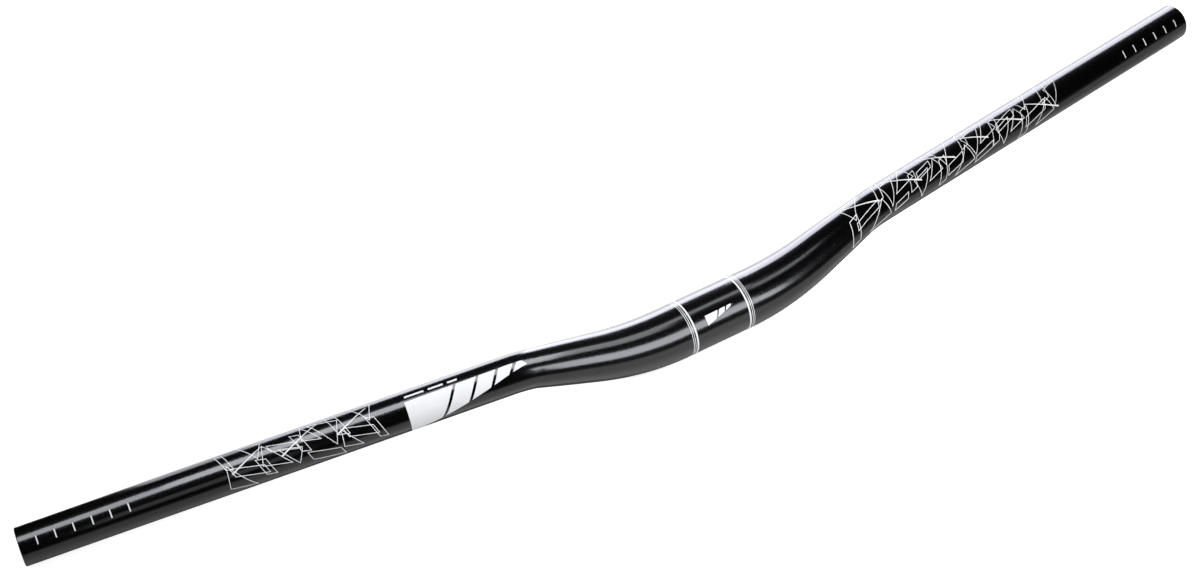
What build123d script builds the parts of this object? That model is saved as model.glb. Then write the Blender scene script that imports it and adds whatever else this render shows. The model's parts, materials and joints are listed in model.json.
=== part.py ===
from build123d import *
import os
from math import asin, atan2, cos, degrees, hypot, radians, sin, tan

# Riser handlebar: one aluminium tube, wide at the clamp, tapered and bent to a rise and a backsweep.
# Frame: origin at the middle of the clamp, +X along the clamp axis, +Y the way the arms sweep back,
# +Z up. The bar lies as it comes to rest, on the underside of its clamp and on both end rims.

# Tube sections
CLAMP_DIAMETER = 31.8
GRIP_DIAMETER = 22.2
CLAMP_WALL = 2.6
GRIP_WALL = 1.8

# Bent shape, as it rides: the clamp runs level, the tube rises to a knee, and the arm sweeps back
OVERALL_WIDTH = 780.0
RISE_KNEE = 47.5
SWEEP_KNEE = 114.5
RISE = 17.0
BACKSWEEP = 12.0
UPSWEEP = 2.0
RISE_BEND_RADIUS = 195.0
SWEEP_BEND_RADIUS = 60.0

# Taper: it starts with the rise bend and is done this far along the tube from the middle.
# An ease of 1 would be a plain cone, and a larger one leaves the clamp more slowly.
TAPER_END = 111.0
TAPER_EASE = 1.45
TAPER_STATIONS = 14

# Broken edges of the two sawn ends
END_CHAMFER = 0.4
BORE_CHAMFER = 0.4

# The arm's direction, and the middle of its end face
arm_run = (1.0, tan(radians(BACKSWEEP)), tan(radians(UPSWEEP)) / cos(radians(BACKSWEEP)))
arm_reach = OVERALL_WIDTH / 2 - SWEEP_KNEE
end_point = (OVERALL_WIDTH / 2, arm_reach * arm_run[1], RISE + arm_reach * arm_run[2])

# Roll about the clamp axis that brings both end rims down level with the underside of the clamp
ROLL_ROUNDS = 6
arm_unit = Vector(arm_run).normalized()
rim_y = end_point[1] - END_CHAMFER * arm_unit.Y
rim_z = end_point[2] - END_CHAMFER * arm_unit.Z
lying_roll = 0.0
for _ in range(ROLL_ROUNDS):
    droop = asin(arm_unit.Y * sin(lying_roll) - arm_unit.Z * cos(lying_roll))
    drop = (CLAMP_DIAMETER - GRIP_DIAMETER * cos(droop)) / 2
    lying_roll = atan2(rim_z, rim_y) + asin(drop / hypot(rim_y, rim_z))

# Centre line of one half: straight runs joined by tangent arcs
riding = Plane.XY.rotated((-degrees(lying_roll), 0, 0))
with BuildLine(riding) as centre_line:
    FilletPolyline(
        (0, 0, 0),
        (RISE_KNEE, 0, 0),
        (SWEEP_KNEE, 0, RISE),
        end_point,
        radius=[RISE_BEND_RADIUS, SWEEP_BEND_RADIUS],
    )
half_route = centre_line.wire()
runs = half_route.order_edges()
clamp_half_length = runs[0].length
arm_length = runs[-1].length
arm_start = half_route.length - arm_length


def section_plane(along):
    """Plane square to the tube at a distance along it from the middle."""
    middle = half_route.position_at(along, position_mode=PositionMode.LENGTH)
    onward = half_route.tangent_at(along, position_mode=PositionMode.LENGTH)
    return Plane(origin=middle, x_dir=onward.cross(riding.z_dir), z_dir=onward)


def tube_section(along):
    """Ring of the tube's wall at a distance along it, sketched in the plane that is open."""
    eased = min(max((along - clamp_half_length) / (TAPER_END - clamp_half_length), 0), 1) ** TAPER_EASE
    outer_diameter = CLAMP_DIAMETER + (GRIP_DIAMETER - CLAMP_DIAMETER) * eased
    wall = CLAMP_WALL + (GRIP_WALL - CLAMP_WALL) * eased
    Circle(outer_diameter / 2)
    Circle(outer_diameter / 2 - wall, mode=Mode.SUBTRACT)


with BuildPart() as handlebar:
    # Tapered stretch: rings along both bends, skinned from one to the next
    taper_step = (arm_start - clamp_half_length) / TAPER_STATIONS
    for station in range(TAPER_STATIONS + 1):
        along = clamp_half_length + station * taper_step
        with BuildSketch(section_plane(along)):
            tube_section(along)
    loft()
    # Arm: a plain ring drawn out to the sawn end
    with BuildSketch(section_plane(arm_start)):
        tube_section(arm_start)
    extrude(amount=arm_length)
    # The other arm, and the clamp as one plain ring drawn out between the two
    mirror(about=Plane.YZ)
    with BuildSketch(section_plane(0).offset(-clamp_half_length)):
        tube_section(0)
    extrude(amount=2 * clamp_half_length)
    # Broken edges at both sawn ends, first outside and then in the bore
    sawn_edges = handlebar.faces().filter_by(GeomType.PLANE).edges()
    chamfer(sawn_edges.group_by(SortBy.RADIUS)[-1], length=END_CHAMFER)
    sawn_edges = handlebar.faces().filter_by(GeomType.PLANE).edges()
    chamfer(sawn_edges.group_by(SortBy.RADIUS)[0], length=BORE_CHAMFER)

handlebar.part.label = "handlebar"
os.makedirs("parts", exist_ok=True)
export_step(handlebar.part, "parts/handlebar.step")

print("roll to lie down", round(degrees(lying_roll), 3), "degrees")
print("clamp half", round(clamp_half_length, 3), "arm from", round(arm_start, 3), "for", round(arm_length, 3))
print("end middle", riding.from_local_coords(Vector(*end_point)))
print("volume", round(handlebar.part.volume, 1), "box", handlebar.part.bounding_box())
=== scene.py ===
# %% [markdown]
# A riser handlebar, drawn, bent and printed
#
# The bar is one aluminium tube. It is thickest in the middle, where the stem clamps it, it
# steps up and back through two bends on each side, and it ends in two slim straight arms for
# the grips. The CAD model already holds that shape to the tenth of a millimetre, so this
# lesson loads it as a fixed frame and dresses it: a finer skin, black anodising, white ink,
# soft light and a camera.

# %% Load the frame
import json
import math
import random

import bmesh
import bpy
from mathutils import Matrix, Vector


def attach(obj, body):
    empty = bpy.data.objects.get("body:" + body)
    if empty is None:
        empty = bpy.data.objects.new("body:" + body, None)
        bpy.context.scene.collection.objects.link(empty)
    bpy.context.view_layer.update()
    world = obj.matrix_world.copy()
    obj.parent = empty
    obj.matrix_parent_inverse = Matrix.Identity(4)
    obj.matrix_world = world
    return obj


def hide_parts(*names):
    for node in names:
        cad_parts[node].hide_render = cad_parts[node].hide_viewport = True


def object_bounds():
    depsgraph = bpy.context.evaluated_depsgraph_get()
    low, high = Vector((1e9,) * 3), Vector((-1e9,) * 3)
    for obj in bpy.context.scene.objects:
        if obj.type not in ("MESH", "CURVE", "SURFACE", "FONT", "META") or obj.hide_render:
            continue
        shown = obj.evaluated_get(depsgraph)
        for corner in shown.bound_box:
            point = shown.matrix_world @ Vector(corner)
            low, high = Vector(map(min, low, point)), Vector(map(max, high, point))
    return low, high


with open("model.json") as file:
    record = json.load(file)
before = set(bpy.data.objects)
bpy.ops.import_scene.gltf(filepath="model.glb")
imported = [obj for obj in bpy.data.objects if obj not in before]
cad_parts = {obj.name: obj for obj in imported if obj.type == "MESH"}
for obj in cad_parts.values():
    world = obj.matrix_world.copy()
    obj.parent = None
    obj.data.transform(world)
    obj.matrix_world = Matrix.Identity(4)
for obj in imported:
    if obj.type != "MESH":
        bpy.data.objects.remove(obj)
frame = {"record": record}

MM = 0.001

cad_low, cad_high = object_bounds()
print("CAD box in mm:", [round(size / MM, 1) for size in cad_high - cad_low])

# %% [markdown]
# Where the tube runs
#
# The record that came with the CAD model names the places where other parts fit: the clamp
# seat, the grips and the end bores. They give the tube's radii, the direction of an arm and
# where it starts and stops. Only the two knees, where the straight runs would meet if the
# bends were sharp, and the small chamfers are written here. Everything else follows, so the
# skin cannot drift away from the solid.

# %% Read the seats and find the bends
ALONG_X = Vector((1, 0, 0))
RISE_KNEE = 47.5 * MM
SWEEP_KNEE = 114.5 * MM
END_CHAMFER = 0.4 * MM
BORE_CHAMFER = 0.4 * MM

seats = {mount["name"]: mount for mount in frame["record"]["mounts"]}
clamp_radius = seats["stem_clamp"]["dims"]["r_mm"] * MM
clamp_half = seats["stem_clamp"]["dims"]["length_mm"] / 2 * MM
grip_radius = seats["right_grip"]["dims"]["r_mm"] * MM
grip_length = seats["right_grip"]["dims"]["length_mm"] * MM
bore_radius = seats["right_end_bore"]["dims"]["r_mm"] * MM
arm_way = Vector(seats["right_grip"]["axis"]).normalized()
arm_middle = Vector(seats["right_grip"]["pos_m"])

arm_start = arm_middle - arm_way * grip_length / 2
arm_end = arm_middle + arm_way * (grip_length / 2 + END_CHAMFER)
rise_knee = ALONG_X * RISE_KNEE
sweep_knee = arm_end - arm_way * ((arm_end.x - SWEEP_KNEE) / arm_way.x)
slope_way = (sweep_knee - rise_knee).normalized()


def round_bend(knee, way_in, way_out, reach):
    """The bend that starts and stops this far from a knee: its centre, axis, turn and radius."""
    turn = way_in.angle(way_out)
    radius = reach / math.tan(turn / 2)
    axis = way_in.cross(way_out).normalized()
    centre = knee - way_in * reach + axis.cross(way_in) * radius
    return centre, axis, turn, radius


rise_reach = RISE_KNEE - clamp_half
sweep_reach = (arm_start - sweep_knee).length
rise_bend = round_bend(rise_knee, ALONG_X, slope_way, rise_reach)
sweep_bend = round_bend(sweep_knee, slope_way, arm_way, sweep_reach)
for title, bend in (("rise", rise_bend), ("sweep", sweep_bend)):
    print(title, "bend:", round(math.degrees(bend[2]), 2), "degrees, radius", round(bend[3] / MM, 1), "mm")

# %% [markdown]
# Walking along the tube
#
# A cross-section of the tube is a flat ring. To place one anywhere along the bar, start with
# the ring in the middle and carry it: slide it along the clamp seat, turn it about the first
# bend's axis, slide it up the slope, turn it again, slide it out along the arm. The ring never
# spins about its own middle on the way, so ink that is laid along the tube stays in line.

# %% Carry a cross-section to any distance
rise_start = clamp_half
rise_stop = rise_start + rise_bend[2] * rise_bend[3]
sweep_start = rise_stop + (sweep_knee - rise_knee).length - rise_reach - sweep_reach
sweep_stop = sweep_start + sweep_bend[2] * sweep_bend[3]
bar_half = sweep_stop + (arm_end - arm_start).length
MIDDLE_RING = Matrix(((0, 0, 1, 0), (0, -1, 0, 0), (1, 0, 0, 0), (0, 0, 0, 1)))


def held(value, low, high):
    """A value kept between two limits."""
    return min(max(value, low), high)


def turned(bend, distance):
    """The turn that a bend makes over this distance along it."""
    centre, axis, turn, radius = bend
    angle = held(distance / radius, 0, turn)
    return Matrix.Translation(centre) @ Matrix.Rotation(angle, 4, axis) @ Matrix.Translation(-centre)


def section_place(along):
    """A cross-section's place: local Z runs along the tube, Y points to the front and X up."""
    place = Matrix.Translation(ALONG_X * held(along, 0, rise_start)) @ MIDDLE_RING
    place = turned(rise_bend, along - rise_start) @ place
    place = Matrix.Translation(slope_way * held(along - rise_stop, 0, sweep_start - rise_stop)) @ place
    place = turned(sweep_bend, along - sweep_start) @ place
    return Matrix.Translation(arm_way * max(along - sweep_stop, 0)) @ place


print("length along the bar in mm:", round(2 * bar_half / MM, 1))

# %% [markdown]
# How the tube slims down
#
# The blank is butted: its wall is thick at the clamp and thin in the arms, and its outside is
# swaged down from the clamp size to the grip size through the first bend and the slope. One
# easing curve does both, the same as in the solid.

# %% Radii along the tube
TAPER_END = 111.0 * MM
TAPER_EASE = 1.45
CLAMP_WALL = 2.6 * MM
grip_wall = grip_radius - bore_radius


def slimmed(along):
    """How far the tube has slimmed down: 0 at the clamp, 1 in the arms."""
    return held((along - clamp_half) / (TAPER_END - clamp_half), 0, 1) ** TAPER_EASE


def outer_radius(along):
    """The tube's outer radius at a distance from its middle."""
    return clamp_radius + (grip_radius - clamp_radius) * slimmed(along)


def inner_radius(along):
    """The bore's radius at a distance from the tube's middle."""
    return outer_radius(along) - CLAMP_WALL - (grip_wall - CLAMP_WALL) * slimmed(along)


for along in (0, rise_stop, sweep_start, bar_half):
    print("at", round(along / MM), "mm:", round(2 * outer_radius(along) / MM, 2), "mm outside,",
          round(2 * inner_radius(along) / MM, 2), "mm bore")

# %% [markdown]
# The tube itself
#
# A bar like this could be a curve with a bevel, but a curve has one thickness law and no bore.
# So the skin is drawn the way a mill draws the tube: one ring of edges is extruded from
# station to station, out along the outside, over the chamfered end and back down the bore.
# Half of it is made and then mirrored. Each point also remembers where it lay in the straight
# blank, before bending. The finishes use that, so drawing marks follow the tube round its
# bends.

# %% Stations of the drawn half
RING_SIDES = 128
ARM_STEP = 8 * MM
BEND_STEP = 1.8 * MM
EDGE_EASE = 0.12 * MM
EDGE_DROP = EDGE_EASE / 1.4
HOLD = 0.5 * MM
OUTSIDE, END_FACE, BORE = range(3)


def spread(start, stop, step):
    """Even distances from start to stop, no further apart than step."""
    count = math.ceil((stop - start) / step)
    return [start + (stop - start) * number / count for number in range(1, count + 1)]


walk = [rise_start / 2, rise_start]
walk += spread(rise_start, rise_stop, BEND_STEP)
walk += spread(rise_stop, sweep_start, BEND_STEP)
walk += spread(sweep_start, sweep_stop, BEND_STEP)
walk += spread(sweep_stop, bar_half - END_CHAMFER - HOLD, ARM_STEP)
walk += [bar_half - END_CHAMFER - EDGE_EASE]
face_outer = grip_radius - END_CHAMFER
face_inner = bore_radius + BORE_CHAMFER

profile = [(along, outer_radius(along), OUTSIDE) for along in walk]
profile += [
    (bar_half - END_CHAMFER + EDGE_EASE / 2, grip_radius - EDGE_DROP, OUTSIDE),
    (bar_half - EDGE_EASE / 2, face_outer + EDGE_EASE / 2, END_FACE),
    (bar_half, face_outer - EDGE_EASE / 2, END_FACE),
    (bar_half, face_inner + EDGE_EASE / 2, END_FACE),
    (bar_half - EDGE_EASE / 2, face_inner - EDGE_EASE / 2, END_FACE),
    (bar_half - BORE_CHAMFER, bore_radius, END_FACE),
]
profile += [(along, inner_radius(along), BORE) for along in reversed(walk)]
profile += [(0, inner_radius(0), BORE)]
print("stations on one half:", len(profile))

# %% Draw the tube, mirror it and close it


def section(along, radius):
    """The matrix that sets a unit ring at a station."""
    return section_place(along) @ Matrix.Diagonal((radius, radius, 1, 1))


def parts(geometry, kind):
    """The corners, edges or faces in an operator's result."""
    return [part for part in geometry if isinstance(part, kind)]


tube = bmesh.new()
blank_place = tube.verts.layers.float_vector.new("blank_place")
here = section(0, clamp_radius)
bmesh.ops.create_circle(tube, segments=RING_SIDES, radius=1, matrix=here)
ring = tube.edges[:]
for vertex in tube.verts:
    vertex[blank_place] = section_place(0).inverted() @ vertex.co

for along, radius, finish in profile:
    grown = bmesh.ops.extrude_edge_only(tube, edges=ring)["geom"]
    corners = parts(grown, bmesh.types.BMVert)
    there = section(along, radius)
    bmesh.ops.transform(tube, matrix=there @ here.inverted(), verts=corners)
    for vertex in corners:
        vertex[blank_place] = section_place(along).inverted() @ vertex.co + Vector((0, 0, along))
    for face in parts(grown, bmesh.types.BMFace):
        face.material_index = finish
    fresh = set(corners)
    ring = [edge for edge in parts(grown, bmesh.types.BMEdge) if fresh.issuperset(edge.verts)]
    here = there

# On its way out and back the ring drifts by a few thousandths of a millimetre, which the seam takes up.
SEAM = 0.01 * MM
bmesh.ops.mirror(tube, geom=tube.verts[:] + tube.edges[:] + tube.faces[:], axis="X", merge_dist=SEAM)
bmesh.ops.remove_doubles(tube, verts=tube.verts, dist=SEAM)
bmesh.ops.recalc_face_normals(tube, faces=tube.faces)
print("tube:", len(tube.faces), "faces,", round(tube.calc_volume() / MM**3), "cubic mm,",
      sum(edge.is_boundary for edge in tube.edges), "open edges")

# %% [markdown]
# From bmesh to an object
#
# Every piece goes the same way from here: the bmesh becomes a mesh, its faces are shaded
# smooth with real corners kept sharp, and the object rides on the bar's one body.

# %% Hand a bmesh over as a piece
SHARP_ANGLE = math.radians(32)


def finished_piece(name, mesh):
    """An object at the origin, shaded smooth, that rides on the bar."""
    data = bpy.data.meshes.new(name)
    mesh.to_mesh(data)
    mesh.free()
    data.shade_smooth()
    data.set_sharp_from_angle(angle=SHARP_ANGLE)
    piece = bpy.data.objects.new(name, data)
    bpy.context.scene.collection.objects.link(piece)
    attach(piece, "root")
    print(name + ":", len(data.polygons), "faces")
    return piece


bar = finished_piece("bar_tube", tube)
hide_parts("handlebar")

# %% [markdown]
# Ink, and how to lay it
#
# The white marks are pad printed on the anodised tube. They could be painted by a mask in the
# material, but a mask is only as sharp as the picture it is baked to. So the ink is cut out
# flat, as a stencil is, diced into small panes and rolled on to the tube as a film a few
# hundredths of a millimetre thick. On the flat stencil x runs along the bar from its middle,
# y runs round it upwards from a line chosen for each print, and z is the film's height.

# %% Dice flat art and roll it on
INK_TOP = 0.03 * MM
INK_STEP = 0.001 * MM
INK_DEPTH = 0.14 * MM
PANE_ALONG = 2.5 * MM
PANE_ROUND = 0.9 * MM
MERGE = 0.001 * MM
RIGHT, LEFT = 1, -1


def dice(mesh):
    """Cut flat art by rows of planes, so that it can bend round the tube."""
    for axis, step in ((0, PANE_ALONG), (1, PANE_ROUND)):
        reach = [vertex.co[axis] for vertex in mesh.verts]
        normal = Vector((axis == 0, axis == 1, 0))
        for number in range(math.floor(min(reach) / step) + 1, math.ceil(max(reach) / step)):
            everything = mesh.verts[:] + mesh.edges[:] + mesh.faces[:]
            bmesh.ops.bisect_plane(mesh, geom=everything, dist=MERGE, plane_co=normal * step * number,
                                   plane_no=normal)


def roll_on(mesh, side, facing):
    """Roll flat art on to one side of the bar, with y = 0 facing this many degrees up from the front."""
    for vertex in mesh.verts:
        along, girth, height = vertex.co
        radius = outer_radius(abs(along)) + INK_TOP + height
        angle = math.radians(facing) + girth / outer_radius(abs(along))
        place = section_place(abs(along)) @ Vector((radius * math.sin(angle), radius * math.cos(angle), 0))
        place.x *= side * (1 if along >= 0 else -1)
        vertex.co = place
    mesh.normal_update()
    if side == LEFT:
        bmesh.ops.reverse_faces(mesh, faces=mesh.faces)
    bmesh.ops.solidify(mesh, geom=mesh.faces[:], thickness=INK_DEPTH)
    bmesh.ops.recalc_face_normals(mesh, faces=mesh.faces)


def gather(target, mesh):
    """Add a finished bmesh to another one."""
    data = bpy.data.meshes.new("gathered")
    mesh.to_mesh(data)
    mesh.free()
    target.from_mesh(data)
    bpy.data.meshes.remove(data)


# %% [markdown]
# Rings at the clamp
#
# Two bands frame the seat where the stem goes: a bold line on the inside, and two fine ones
# outside it. They help to set the bar in the middle of the stem. A line that goes all the way
# round needs no stencil: a circle of edges is drawn out along the tube and given its depth.

# %% Clamp rings
RING_LINES = ((17.5 * MM, 1.0 * MM), (19.05 * MM, 0.34 * MM), (20.15 * MM, 0.34 * MM))


def ring_line(place, width, side):
    """A line round the clamp seat, at a distance from its middle on one side."""
    line = bmesh.new()
    start = section_place(place - width / 2)
    bmesh.ops.create_circle(line, segments=RING_SIDES, radius=clamp_radius + INK_TOP, matrix=start)
    grown = bmesh.ops.extrude_edge_only(line, edges=line.edges[:])["geom"]
    bmesh.ops.translate(line, verts=parts(grown, bmesh.types.BMVert), vec=ALONG_X * width)
    bmesh.ops.recalc_face_normals(line, faces=line.faces)
    bmesh.ops.solidify(line, geom=line.faces[:], thickness=INK_DEPTH)
    bmesh.ops.scale(line, verts=line.verts, vec=(side, 1, 1))
    bmesh.ops.recalc_face_normals(line, faces=line.faces)
    return line


rings = bmesh.new()
for place, width in RING_LINES:
    for side in (RIGHT, LEFT):
        gather(rings, ring_line(place, width, side))
clamp_rings = finished_piece("clamp_rings", rings)

# %% [markdown]
# Cut marks at the ends
#
# A wide bar is often sawn shorter. A row of short lines, a centimetre apart, shows where.

# %% Cut marks
MARK_COUNT = 6
MARK_STEP = 10 * MM
MARK_LENGTH = 4.7 * MM
MARK_WIDTH = 0.66 * MM
MARK_FACING = {RIGHT: 40.0, LEFT: 46.0}

marks = bmesh.new()
for side, facing in MARK_FACING.items():
    stencil = bmesh.new()
    for number in range(1, MARK_COUNT + 1):
        place = Matrix.Translation((bar_half - number * MARK_STEP, 0, 0))
        shape = place @ Matrix.Diagonal((MARK_WIDTH, MARK_LENGTH, 1, 1))
        bmesh.ops.create_grid(stencil, x_segments=1, y_segments=1, size=0.5, matrix=shape)
    dice(stencil)
    roll_on(stencil, side, facing)
    gather(marks, stencil)
cut_marks = finished_piece("cut_marks", marks)

# %% [markdown]
# Shards on the arms
#
# Inboard of the grips each arm carries a field of fine white lines: thin outlines of bars and
# triangles that all lean one way and lie over each other in three rows, with a few bolder
# strokes across them. A shard starts as one flat face. The inset operator draws an even line
# inside its edge, and deleting what is left in the middle leaves the outline. The shards are
# dealt out by a seeded generator, so that they fall the same way each time. Each lies a hair
# higher than the one before, as printed layers do, so that no two films share one plane.

# %% Cut a shard
LINE = 0.36 * MM
SHARD_LEAN = 0.65
SHARD_WIDTHS = (6.5 * MM, 11 * MM)
SHARD_HEIGHTS = (4.5 * MM, 7.5 * MM)
STANDING_BAR = ((-0.35, -1), (0.35, -1), (0.35, 1), (-0.35, 1))
HANGING_TRIANGLE = ((-1, 1), (0, -1), (0.7, 1))
LYING_BAR = ((-0.9, -1), (0.9, -1), (0.9, -0.2), (-0.9, -0.2))
STANDING_TRIANGLE = ((-0.7, -1), (1, -1), (0.2, 1))
SHARD_SHAPES = (STANDING_BAR, HANGING_TRIANGLE, LYING_BAR, STANDING_TRIANGLE)
SHARD_SEED = 1
chance = random.Random(SHARD_SEED)


def new_face(mesh, corners, height):
    """One flat face from a few corner points."""
    face = mesh.faces.new([mesh.verts.new((x, y, height)) for x, y in corners])
    face.normal_update()
    return face


def outline(mesh, corners, height):
    """The edge of a flat shape as an even line."""
    face = new_face(mesh, corners, height)
    bmesh.ops.inset_region(mesh, faces=[face], thickness=LINE, use_boundary=True, use_even_offset=True)
    bmesh.ops.delete(mesh, geom=[face], context="FACES")


def shard_corners(number):
    """The shapes in turn, each with a width and a height of its own, all leaning one way."""
    wide = chance.uniform(*SHARD_WIDTHS)
    tall = chance.uniform(*SHARD_HEIGHTS)
    shape = SHARD_SHAPES[number % len(SHARD_SHAPES)]
    return [(x * wide + y * tall * SHARD_LEAN, y * tall) for x, y in shape]


def turned_corners(corners, angle, middle):
    """Flat corner points turned by an angle in degrees and moved to a middle."""
    spin = Matrix.Rotation(math.radians(angle), 2)
    return [Vector(middle) + spin @ Vector(corner) for corner in corners]


# %% Deal out a field of shards
ROWS = 3
ROW_STEP = 5.5 * MM
ROW_STRAY = 1 * MM
SHARD_TILT = 12
STROKE_TILT = -27
STROKE_GIRTHS = (-3 * MM, 5 * MM)
STROKE_HALVES = (10 * MM, 14 * MM)
STROKE_THIN = 0.18 * MM
STROKE_BOLD = 0.45 * MM


def shard_field(start, stop, count, strokes):
    """A flat stencil of shards and strokes between two distances from the bar's middle."""
    mesh = bmesh.new()
    for number in range(count):
        along = start + (stop - start) * (number + 0.5) / count
        girth = (number * 2 % ROWS - 1) * ROW_STEP + chance.uniform(-ROW_STRAY, ROW_STRAY)
        corners = turned_corners(shard_corners(number), SHARD_TILT, (along, girth))
        outline(mesh, corners, number * INK_STEP)
    for number in range(strokes):
        middle = (start + (stop - start) * (number + 0.5) / strokes, chance.uniform(*STROKE_GIRTHS))
        half = chance.uniform(*STROKE_HALVES)
        stroke = [(-half, -STROKE_THIN), (half, -STROKE_BOLD), (half, STROKE_BOLD), (-half, STROKE_THIN)]
        new_face(mesh, turned_corners(stroke, STROKE_TILT, middle), (count + number) * INK_STEP)
    return mesh


# %% Print the shards
SHARD_FACING = 55.0
SHARD_FIELDS = ((RIGHT, 96 * MM, 276 * MM, 30, 6), (LEFT, 199 * MM, 287 * MM, 17, 3))
shards = bmesh.new()
for side, start, stop, count, strokes in SHARD_FIELDS:
    stencil = shard_field(start, stop, count, strokes)
    dice(stencil)
    roll_on(stencil, side, SHARD_FACING)
    gather(shards, stencil)
arm_shards = finished_piece("arm_shards", shards)

# %% [markdown]
# Bold bars on the left
#
# Between the shards and the bend the left arm carries one bold figure: a white wedge, cut by
# slanted gaps into bars that get shorter towards the middle, with a broken line over it. The
# wedge is one flat face. Each gap is a pair of cuts across it, and what lies between the cuts
# is taken out. A small copy of the same figure marks the middle of the clamp seat.

# %% Cut a wedge into bars
SLANT = 32.0


def cut_bars(corners, bar_widths, gap):
    """A flat wedge cut across into slanted bars, the first at its thick end."""
    mesh = bmesh.new()
    new_face(mesh, corners, 0)
    across = Vector((math.cos(math.radians(SLANT)), math.sin(math.radians(SLANT)), 0))
    place = Vector((*corners[0], 0)) @ across
    for width in bar_widths:
        place -= width + gap / 2
        for edge in (place + gap / 2, place - gap / 2):
            bmesh.ops.bisect_plane(mesh, geom=mesh.verts[:] + mesh.edges[:] + mesh.faces[:], dist=MERGE,
                                   plane_co=across * edge, plane_no=across)
        waste = [face for face in mesh.faces if abs(face.calc_center_median() @ across - place) < gap / 2]
        bmesh.ops.delete(mesh, geom=waste, context="FACES")
        place -= gap / 2
    return mesh


# %% Lay the bars on the arm and the clamp seat
BOLD_FACING = 45.0
WEDGE = ((184 * MM, -17 * MM), (184 * MM, 4.4 * MM), (118 * MM, 5.4 * MM), (116 * MM, 2.6 * MM))
BAR_WIDTHS = [width * MM for width in (12, 9.5, 8, 6.5, 5, 3.8, 2.8)]
BAR_GAP = 1.5 * MM
DASHES = ((183 * MM, 172 * MM), (169.5 * MM, 161 * MM), (158.5 * MM, 153 * MM))
DASH_LOW, DASH_HIGH = 6.8 * MM, 8.0 * MM
WEDGE_MIDDLE = (150 * MM, -4 * MM)
MINI = 0.27
MINI_WIDTHS = [width * MM for width in (4.2, 3.2, 2.4)]
MINI_GAP = 0.9 * MM
MINI_FACING = 42.0

bold = cut_bars(WEDGE, BAR_WIDTHS, BAR_GAP)
for outer, inner in DASHES:
    dash = [(outer, DASH_LOW), (outer, DASH_HIGH), (inner, DASH_HIGH), (inner, DASH_LOW)]
    new_face(bold, dash, 0)
dice(bold)
roll_on(bold, LEFT, BOLD_FACING)

small_wedge = [((x - WEDGE_MIDDLE[0]) * MINI, (y - WEDGE_MIDDLE[1]) * MINI) for x, y in WEDGE]
small = cut_bars(small_wedge, MINI_WIDTHS, MINI_GAP)
dice(small)
roll_on(small, LEFT, MINI_FACING)
gather(bold, small)
bold_bars = finished_piece("bold_bars", bold)

# %% [markdown]
# Finishes
#
# Black anodising is a thin glassy layer of oxide, dyed black, on metal that was bead blasted
# first. So it is a dark dielectric with a rather high index, and the blasting shows as a fine
# grain in the highlights. The same grain, finer or coarser, is also in the ink and the ends,
# so it is a node group that each material places with its own values.

# %% A shared grain
GRAIN_DETAIL = 3.0
CLOUD_DETAIL = 2.0


def add_node(tree, kind, **settings):
    """A node with some of its settings made."""
    node = tree.nodes.new(kind)
    for name, value in settings.items():
        setattr(node, name, value)
    return node


grain = bpy.data.node_groups.new("blasted_grain", "ShaderNodeTree")
grain.interface.new_socket("Vector", in_out="INPUT", socket_type="NodeSocketVector")
grain.interface.new_socket("Grain Scale", in_out="INPUT", socket_type="NodeSocketFloat")
grain.interface.new_socket("Cloud Scale", in_out="INPUT", socket_type="NodeSocketFloat")
grain.interface.new_socket("Grain", in_out="OUTPUT", socket_type="NodeSocketFloat")
grain.interface.new_socket("Cloud", in_out="OUTPUT", socket_type="NodeSocketFloat")
grain_in = add_node(grain, "NodeGroupInput")
grain_out = add_node(grain, "NodeGroupOutput")
for result, detail in (("Grain", GRAIN_DETAIL), ("Cloud", CLOUD_DETAIL)):
    noise = add_node(grain, "ShaderNodeTexNoise")
    noise.inputs["Detail"].default_value = detail
    grain.links.new(grain_in.outputs["Vector"], noise.inputs["Vector"])
    grain.links.new(grain_in.outputs[result + " Scale"], noise.inputs["Scale"])
    grain.links.new(noise.outputs["Fac"], grain_out.inputs[result])
print("group:", grain.name)

# %% Build a material round the grain
GRAIN_LOW, GRAIN_HIGH = 0.3, 0.7


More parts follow.
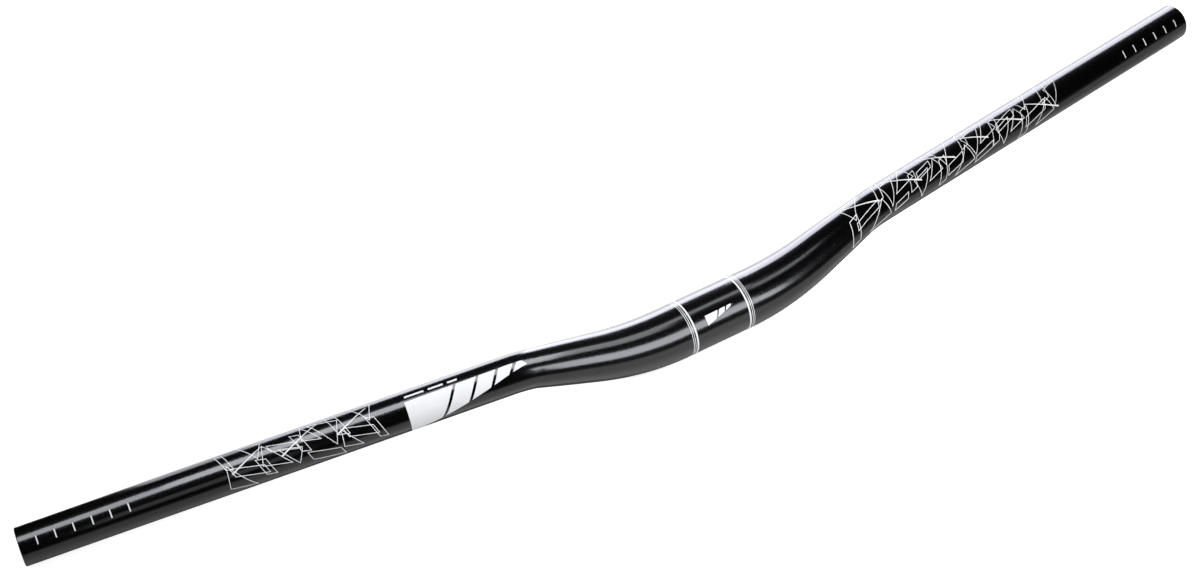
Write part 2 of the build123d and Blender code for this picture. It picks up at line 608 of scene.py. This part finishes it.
def grained(name, source, dark, light, smooth, rough, grain_scale, cloud_scale, bump, stretch=1.0):
    """A material whose colour and gloss drift a little and whose surface has a fine grain."""
    material = bpy.data.materials.new(name)
    material.use_nodes = True
    tree = material.node_tree
    shader = tree.nodes["Principled BSDF"]
    if source == "blank_place":
        place = add_node(tree, "ShaderNodeAttribute", attribute_name="blank_place").outputs["Vector"]
    else:
        place = add_node(tree, "ShaderNodeTexCoord").outputs["Object"]
    drawn_out = add_node(tree, "ShaderNodeVectorMath", operation="MULTIPLY")
    drawn_out.inputs[1].default_value = (1.0, 1.0, 1.0 / stretch)
    tree.links.new(place, drawn_out.inputs[0])
    texture = add_node(tree, "ShaderNodeGroup", node_tree=grain)
    texture.inputs["Grain Scale"].default_value = grain_scale
    texture.inputs["Cloud Scale"].default_value = cloud_scale
    tree.links.new(drawn_out.outputs[0], texture.inputs["Vector"])
    colour = add_node(tree, "ShaderNodeMix", data_type="RGBA")
    colour.inputs["A"].default_value = (*dark, 1)
    colour.inputs["B"].default_value = (*light, 1)
    tree.links.new(texture.outputs["Cloud"], colour.inputs["Factor"])
    tree.links.new(colour.outputs["Result"], shader.inputs["Base Color"])
    gloss = add_node(tree, "ShaderNodeMapRange")
    gloss.inputs["From Min"].default_value = GRAIN_LOW
    gloss.inputs["From Max"].default_value = GRAIN_HIGH
    gloss.inputs["To Min"].default_value = smooth
    gloss.inputs["To Max"].default_value = rough
    tree.links.new(texture.outputs["Grain"], gloss.inputs["Value"])
    tree.links.new(gloss.outputs["Result"], shader.inputs["Roughness"])
    relief = add_node(tree, "ShaderNodeBump")
    relief.inputs["Distance"].default_value = bump
    tree.links.new(texture.outputs["Grain"], relief.inputs["Height"])
    tree.links.new(relief.outputs["Normal"], shader.inputs["Normal"])
    return material


# %% [markdown]
# Three finishes of the tube, and the ink
#
# The outside has a clear lacquer over the oxide, which keeps the streaks crisp. The ends and
# the bore are dyed too, but duller, and the bore's grain is drawn out along the tube. The ink
# is a cool white with a soft sheen. What is the same all over a surface, such as the index, is
# set on the shader itself.

# %% Finishes of the tube and the ink
OXIDE_INDEX = 2.2
LACQUER_INDEX = 1.6
LACQUER_ROUGHNESS = 0.1
black_anodised = grained(
    "black_anodised", "blank_place",
    dark=(0.0007, 0.0007, 0.0008), light=(0.0015, 0.0015, 0.0017),
    smooth=0.15, rough=0.23, grain_scale=1200, cloud_scale=60, bump=0.01 * MM,
)
turned_end = grained(
    "turned_end", "blank_place",
    dark=(0.006, 0.006, 0.0065), light=(0.012, 0.012, 0.012),
    smooth=0.25, rough=0.4, grain_scale=2500, cloud_scale=120, bump=0.01 * MM,
)
drawn_bore = grained(
    "drawn_bore", "blank_place",
    dark=(0.006, 0.006, 0.0065), light=(0.014, 0.014, 0.014),
    smooth=0.3, rough=0.5, grain_scale=1200, cloud_scale=90, bump=0.01 * MM, stretch=40.0,
)
white_ink = grained(
    "white_ink", "object",
    dark=(0.8, 0.81, 0.82), light=(0.87, 0.875, 0.88),
    smooth=0.32, rough=0.45, grain_scale=1800, cloud_scale=150, bump=0.003 * MM,
)
for material in (black_anodised, turned_end, drawn_bore):
    material.node_tree.nodes["Principled BSDF"].inputs["IOR"].default_value = OXIDE_INDEX
    bar.data.materials.append(material)
lacquered = black_anodised.node_tree.nodes["Principled BSDF"]
lacquered.inputs["Coat Weight"].default_value = 1.0
lacquered.inputs["Coat Roughness"].default_value = LACQUER_ROUGHNESS
lacquered.inputs["Coat IOR"].default_value = LACQUER_INDEX
for piece in (clamp_rings, cut_marks, arm_shards, bold_bars):
    piece.data.materials.append(white_ink)
print("finishes of the tube:", [material.name for material in bar.data.materials])

# %% [markdown]
# Turning marks
#
# The ends are faced on a lathe, which leaves fine rings round the bore. They are too shallow to
# model, so rings about the axis of the straight blank tilt the light as a bump does.

# %% Turning marks on the end faces
GROOVE = 0.25 * MM
GROOVE_DEPTH = 0.006 * MM
# The wave texture has this many rings to the unit at a scale of 1.
WAVES_PER_UNIT = 20 / (2 * math.pi)
tree = turned_end.node_tree
grooves = add_node(tree, "ShaderNodeTexWave", wave_type="RINGS", rings_direction="Z")
grooves.inputs["Scale"].default_value = 1 / (GROOVE * WAVES_PER_UNIT)
place = add_node(tree, "ShaderNodeAttribute", attribute_name="blank_place")
tree.links.new(place.outputs["Vector"], grooves.inputs["Vector"])
relief = add_node(tree, "ShaderNodeBump")
relief.inputs["Distance"].default_value = GROOVE_DEPTH
tree.links.new(grooves.outputs["Fac"], relief.inputs["Height"])
tree.links.new(relief.outputs["Normal"], tree.nodes["Bump"].inputs["Normal"])
print("grooves", round(GROOVE / MM, 2), "mm apart on", turned_end.name)

# %% [markdown]
# Studio
#
# The bar lies on a white table. Glossy black shows little of its own colour, so what is seen
# is mostly the studio: long soft lights close behind, over and in front of the bar give the
# bright streaks, a lit patch painted into the table's colour for the gloss gives the grey
# under-side, and a dark room gives the black between. The camera sees the table as plain white
# with only a breath of shadow.

# %% Table
FLOOR_SIZE = 30.0
stage_mesh = bmesh.new()
bmesh.ops.create_grid(stage_mesh, x_segments=1, y_segments=1, size=FLOOR_SIZE / 2,
                      matrix=Matrix.Translation((0, 0, cad_low.z)))
table_data = bpy.data.meshes.new("table")
stage_mesh.to_mesh(table_data)
stage_mesh.free()
table = bpy.data.objects.new("table", table_data)
bpy.context.scene.collection.objects.link(table)
print("table top in mm:", round(cad_low.z / MM, 2))

# %% [markdown]
# Table paint
#
# The table is matt white. What a ray finds on it depends on the kind of ray. Plain light meets
# the white paint, which takes the bar's shadow. The gloss of the bar finds a lit patch painted
# into the table's colour instead: painted light, brighter close to the tube, a painted shadow
# where the tube touches down and black past its front edge. A few helpers keep the sums on node
# outputs short.

# %% Table paint
WHITE_PAINT = (0.8, 0.8, 0.8)
PAINT_ROUGHNESS = 0.6
white_table = bpy.data.materials.new("white_table")
white_table.use_nodes = True
tree = white_table.node_tree
paint = tree.nodes["Principled BSDF"]
paint.inputs["Roughness"].default_value = PAINT_ROUGHNESS


def worked_out(tree, operation, first, second=0.0):
    """The result of a sum on two values. Each is a number or another node's output."""
    node = add_node(tree, "ShaderNodeMath", operation=operation)
    for socket, value in zip(node.inputs, (first, second)):
        if isinstance(value, float):
            socket.default_value = value
        else:
            tree.links.new(value, socket)
    return node.outputs["Value"]


def eased(tree, value, start, stop, low, high):
    """A value that eases from low to high while another one goes from start to stop."""
    ease = add_node(tree, "ShaderNodeMapRange", interpolation_type="SMOOTHSTEP")
    for name, number in (("From Min", start), ("From Max", stop), ("To Min", low), ("To Max", high)):
        ease.inputs[name].default_value = number
    tree.links.new(value, ease.inputs["Value"])
    return ease.outputs["Result"]


def mixed(tree, share, first, second):
    """Two colours mixed by a share. Each is a colour or another node's output."""
    mix = add_node(tree, "ShaderNodeMix", data_type="RGBA")
    tree.links.new(share, mix.inputs["Factor"])
    for name, colour in (("A", first), ("B", second)):
        if isinstance(colour, tuple):
            mix.inputs[name].default_value = (*colour, 1)
        else:
            tree.links.new(colour, mix.inputs[name])
    return mix.outputs["Result"]


# %% The table as the bar's gloss shows it, with light and shade painted in
# Painted light: the lit patch's tones, brighter in the middle than towards the ends, as lamps would light
# the table.
LIT_MIDDLE = (0.27, 0.266, 0.262)
LIT_ENDS = (0.215, 0.212, 0.21)
LIT_CENTRE = -0.05
LIT_RAMP = (0.08, 0.3)
LIT_REACH = 0.42
FRONT_MIDDLE, FRONT_ENDS = -0.15, -0.02
FRONT_BLUR = 0.006
UNLIT = (0.01, 0.01, 0.01)
ARM_RAMP = (0.03, 0.45)
ARM_BACK = 0.072
# Painted light: the gloss colour is made brighter close to the bar.
CLOSE_RAMP = (0.012, 0.04)
CLOSE_GAIN = 1.55
# Painted shadow: the gloss colour is darker where the tube touches down.
CONTACT_RAMP = (0.008, 0.0145)
CONTACT_SHADE = 0.3
rays = add_node(tree, "ShaderNodeLightPath")
spot = add_node(tree, "ShaderNodeTexCoord").outputs["Object"]
axes = add_node(tree, "ShaderNodeSeparateXYZ")
tree.links.new(spot, axes.inputs[0])
x, y = axes.outputs["X"], axes.outputs["Y"]

bar_line = eased(tree, worked_out(tree, "ABSOLUTE", x), *ARM_RAMP, 0.0, ARM_BACK)
in_front = worked_out(tree, "SUBTRACT", bar_line, y)
# Painted light: brighter close to the tube.
painted_glow_near_bar = eased(tree, in_front, *CLOSE_RAMP, CLOSE_GAIN, 1.0)
# Painted shadow under the tube.
painted_contact_shadow = eased(tree, in_front, *CONTACT_RAMP, CONTACT_SHADE, 1.0)
off_centre = worked_out(tree, "ABSOLUTE", worked_out(tree, "SUBTRACT", x, LIT_CENTRE))
towards_ends = eased(tree, off_centre, *LIT_RAMP, 0.0, 1.0)
lit = add_node(tree, "ShaderNodeVectorMath", operation="SCALE")
tree.links.new(mixed(tree, towards_ends, LIT_MIDDLE, LIT_ENDS), lit.inputs[0])
tree.links.new(worked_out(tree, "MULTIPLY", painted_glow_near_bar, painted_contact_shadow), lit.inputs["Scale"])

# Painted darkness: past the lit patch's front edge the gloss sees black, as if unlit.
front_edge = eased(tree, off_centre, 0.0, LIT_REACH, FRONT_MIDDLE, FRONT_ENDS)
past_edge = worked_out(tree, "SUBTRACT", front_edge, y)
beyond = eased(tree, past_edge, -FRONT_BLUR, FRONT_BLUR, 0.0, 1.0)
shown = mixed(tree, beyond, lit.outputs["Vector"], UNLIT)
tone = mixed(tree, rays.outputs["Is Glossy Ray"], WHITE_PAINT, shown)
tree.links.new(tone, paint.inputs["Base Color"])
print("the lit patch ends", round(-FRONT_MIDDLE / MM), "mm in front of the bar")

# %% [markdown]
# Table glow
#
# Behind the bar the table glows for glossy rays, a painted light as bright as paper under the
# back lights, and the bar's far edge shows it as a thin pale rim. To the camera the table glows
# white, a little less close to the bar, so that the shadow stays. Both are light that the table
# gives only to those rays.

# %% Painted glow behind the bar, and white in the picture
# Painted light: how strongly the table glows to glossy rays behind the bar, brightest on the left.
BEHIND_LEFT = 2.4
BEHIND_MIDDLE = 1.4
BEHIND_RIGHT = 1.05
LEFT_RAMP = (-0.37, -0.28)
RIGHT_RAMP = (0.1, 0.22)
DEPTH_RAMP = (0.04, 0.11)
SHADE_RAMP = (-0.004, 0.008)
NEAR_WHITE = 0.7
WHITE_RAMP = (0.3, 0.7)
distance = add_node(tree, "ShaderNodeVectorMath", operation="DISTANCE")
distance.inputs[1].default_value = (0, 0, cad_low.z)
tree.links.new(spot, distance.inputs[0])
in_picture = eased(tree, distance.outputs["Value"], *WHITE_RAMP, NEAR_WHITE, 1.0)
behind = eased(tree, y, *DEPTH_RAMP, 0.0, 1.0)
for factor in (
    eased(tree, x, *LEFT_RAMP, BEHIND_LEFT, 1.0),
    eased(tree, x, *RIGHT_RAMP, BEHIND_MIDDLE, BEHIND_RIGHT),
    eased(tree, in_front, *SHADE_RAMP, 1.0, 0.0),
):
    behind = worked_out(tree, "MULTIPLY", behind, factor)
to_camera = worked_out(tree, "MULTIPLY", rays.outputs["Is Camera Ray"], in_picture)
painted_glow_to_gloss = worked_out(tree, "MULTIPLY", rays.outputs["Is Glossy Ray"], behind)
glow = add_node(tree, "ShaderNodeEmission")
tree.links.new(worked_out(tree, "ADD", to_camera, painted_glow_to_gloss), glow.inputs["Strength"])
both = add_node(tree, "ShaderNodeAddShader")
tree.links.new(paint.outputs["BSDF"], both.inputs[0])
tree.links.new(glow.outputs["Emission"], both.inputs[1])
tree.links.new(both.outputs["Shader"], tree.nodes["Material Output"].inputs["Surface"])
table_data.materials.append(white_table)
print("table paint:", len(tree.nodes), "nodes")

# %% [markdown]
# Room
#
# The walls of a studio are dark, and a glossy tube shows them as the black between its streaks.
# So the world looks nearly black in the gloss, gives a little grey light to everything else
# and is white to the camera, as the table is.

# %% Room
ROOM_FILL = (0.2, 0.2, 0.2)
ROOM_SEEN = (0.003, 0.003, 0.003)
PICTURE_WHITE = (1.0, 1.0, 1.0)
room = bpy.data.worlds.new("room")
bpy.context.scene.world = room
room.use_nodes = True
tree = room.node_tree
rays = add_node(tree, "ShaderNodeLightPath")
dark = mixed(tree, rays.outputs["Is Glossy Ray"], ROOM_FILL, ROOM_SEEN)
seen = mixed(tree, rays.outputs["Is Camera Ray"], dark, PICTURE_WHITE)
tree.links.new(seen, tree.nodes["Background"].inputs["Color"])
print("room:", len(tree.nodes), "nodes")

# %% [markdown]
# Soft lights
#
# A round tube shows a soft light as a streak along it, where the surface leans halfway between
# the light and the eye. The lamp's place sets where the streak lies, its size how wide it is
# and its brightness how white. Lamps behind the bar make the rim along its far side, lamps over
# it the streak on top, and lamps in front the broad one that faces the camera.

# %% Soft lights


def soft_light(name, place, facing, size, brightness, colour=(1, 1, 1), spin=0.0):
    """A softbox that shines one way, where a brightness of 1 is white."""
    width, height = size
    lamp = bpy.data.lights.new(name, "AREA")
    lamp.shape = "RECTANGLE"
    lamp.size = width
    lamp.size_y = height
    lamp.energy = brightness * math.pi * width * height
    lamp.color = colour
    box = bpy.data.objects.new(name, lamp)
    box.matrix_world = (
        Matrix.Translation(place)
        @ Vector(facing).to_track_quat("-Z", "Y").to_matrix().to_4x4()
        @ Matrix.Rotation(math.radians(spin), 4, "Z")
    )
    bpy.context.scene.collection.objects.link(box)
    print(name, "at", [round(value, 2) for value in place])
    return box


# %% Lights behind the bar
FORWARD = (0, -1, 0)
LAVENDER = (0.87, 0.885, 1.0)
BACK_FOOT = 0.018


def back_light(name, depth, left, right, top, brightness):
    """An upright softbox behind the bar, from one x to another and up to a top."""
    place = ((left + right) / 2, depth, (top + BACK_FOOT) / 2)
    return soft_light(name, place, FORWARD, (right - left, top - BACK_FOOT), brightness, LAVENDER)


back_light("back_far_left", depth=0.28, left=-0.285, right=-0.205, top=0.14, brightness=1.3)
back_light("back_left", depth=0.28, left=-0.205, right=-0.115, top=0.132, brightness=2.2)
back_light("back_inner", depth=0.28, left=-0.115, right=0.035, top=0.128, brightness=2.7)
back_light("back_middle", depth=0.13, left=-0.05, right=0.09, top=0.094, brightness=3.6)
back_light("back_bend", depth=0.13, left=0.09, right=0.15, top=0.126, brightness=3.4)
back_light("back_right", depth=0.36, left=0.23, right=1.14, top=0.282, brightness=3.15)

# %% Lights over and in front of the bar
COOL = (0.91, 0.94, 1.0)
DOWN, BACK = (0, 0, -1), (0, 1, 0)
OVER_HEIGHT = 0.15
FRONT_DEPTH = -0.2


def over_light(name, x, y, size, brightness, spin=0.0):
    """A level softbox over the bar."""
    return soft_light(name, (x, y, OVER_HEIGHT), DOWN, size, brightness, COOL, spin)


def front_light(name, x, z, size, brightness):
    """An upright softbox in front of the bar."""
    return soft_light(name, (x, FRONT_DEPTH, z), BACK, size, brightness, COOL)


over_light("over_end", x=-0.4, y=0.047, size=(0.15, 0.068), brightness=1.83, spin=-3.4)
over_light("over_left", x=-0.1775, y=0.0095, size=(0.304, 0.0717), brightness=2.35, spin=-14.2)
over_light("over_step", x=-0.004, y=-0.0215, size=(0.052, 0.06), brightness=1.08)
over_light("over_middle", x=0.0535, y=-0.0072, size=(0.063, 0.031), brightness=0.92, spin=-3)
over_light("over_bend", x=0.0975, y=-0.032, size=(0.025, 0.036), brightness=0.85)
front_light("front_light", x=0.0325, z=0.1105, size=(0.185, 0.115), brightness=2.15)
front_light("front_soft", x=0.0325, z=0.177, size=(0.185, 0.018), brightness=0.8)
front_light("front_end", x=0.138, z=0.085, size=(0.026, 0.078), brightness=2.4)
front_light("front_left", x=-0.355, z=0.138, size=(0.13, 0.11), brightness=0.19)

# %% [markdown]
# Fill
#
# White ink needs light from the camera's side, but a lamp there would put one more streak on
# the tube. So the two fill lamps are hidden from glossy rays. They light the ink and leave the
# gloss alone.

# %% Fill for the ink
FILL_SPREAD = math.radians(100)
fill_right = soft_light("fill_right", place=(0.32, -0.42, 0.5), facing=(-0.07, 0.45, -0.5),
                        size=(0.5, 0.25), brightness=3.2)
fill_left = soft_light("fill_left", place=(-0.62, -0.3, 0.25), facing=(0.32, 0.34, -0.25),
                       size=(0.3, 0.25), brightness=1.25)
for fill in (fill_right, fill_left):
    fill.data.spread = FILL_SPREAD
    fill.visible_glossy = False

# %% [markdown]
# Camera
#
# The camera stands in front of the left half and looks down at about forty degrees across the
# bar, with a long lens and tipped a little to one side.

# %% Camera
CAMERA_PLACE = (-0.58803, -0.95268, 1.02101)
CAMERA_AZIMUTH = -28.645
CAMERA_ELEVATION = 41.604
CAMERA_ROLL = 4.581
IMAGE_WIDTH = 1200
FOCAL_PIXELS = 2712.02
SENSOR = 36.0

lens = bpy.data.cameras.new("camera")
lens.sensor_width = SENSOR
lens.sensor_fit = "HORIZONTAL"
lens.lens = FOCAL_PIXELS * SENSOR / IMAGE_WIDTH
camera = bpy.data.objects.new("camera", lens)
camera.matrix_world = (
    Matrix.Translation(CAMERA_PLACE)
    @ Matrix.Rotation(math.radians(CAMERA_AZIMUTH), 4, "Z")
    @ Matrix.Rotation(math.radians(90 - CAMERA_ELEVATION), 4, "X")
    @ Matrix.Rotation(math.radians(-CAMERA_ROLL), 4, "Z")
)
bpy.context.scene.collection.objects.link(camera)
bpy.context.scene.camera = camera
bpy.context.scene.view_settings.view_transform = "Standard"
print("camera lens in mm:", round(lens.lens, 2))
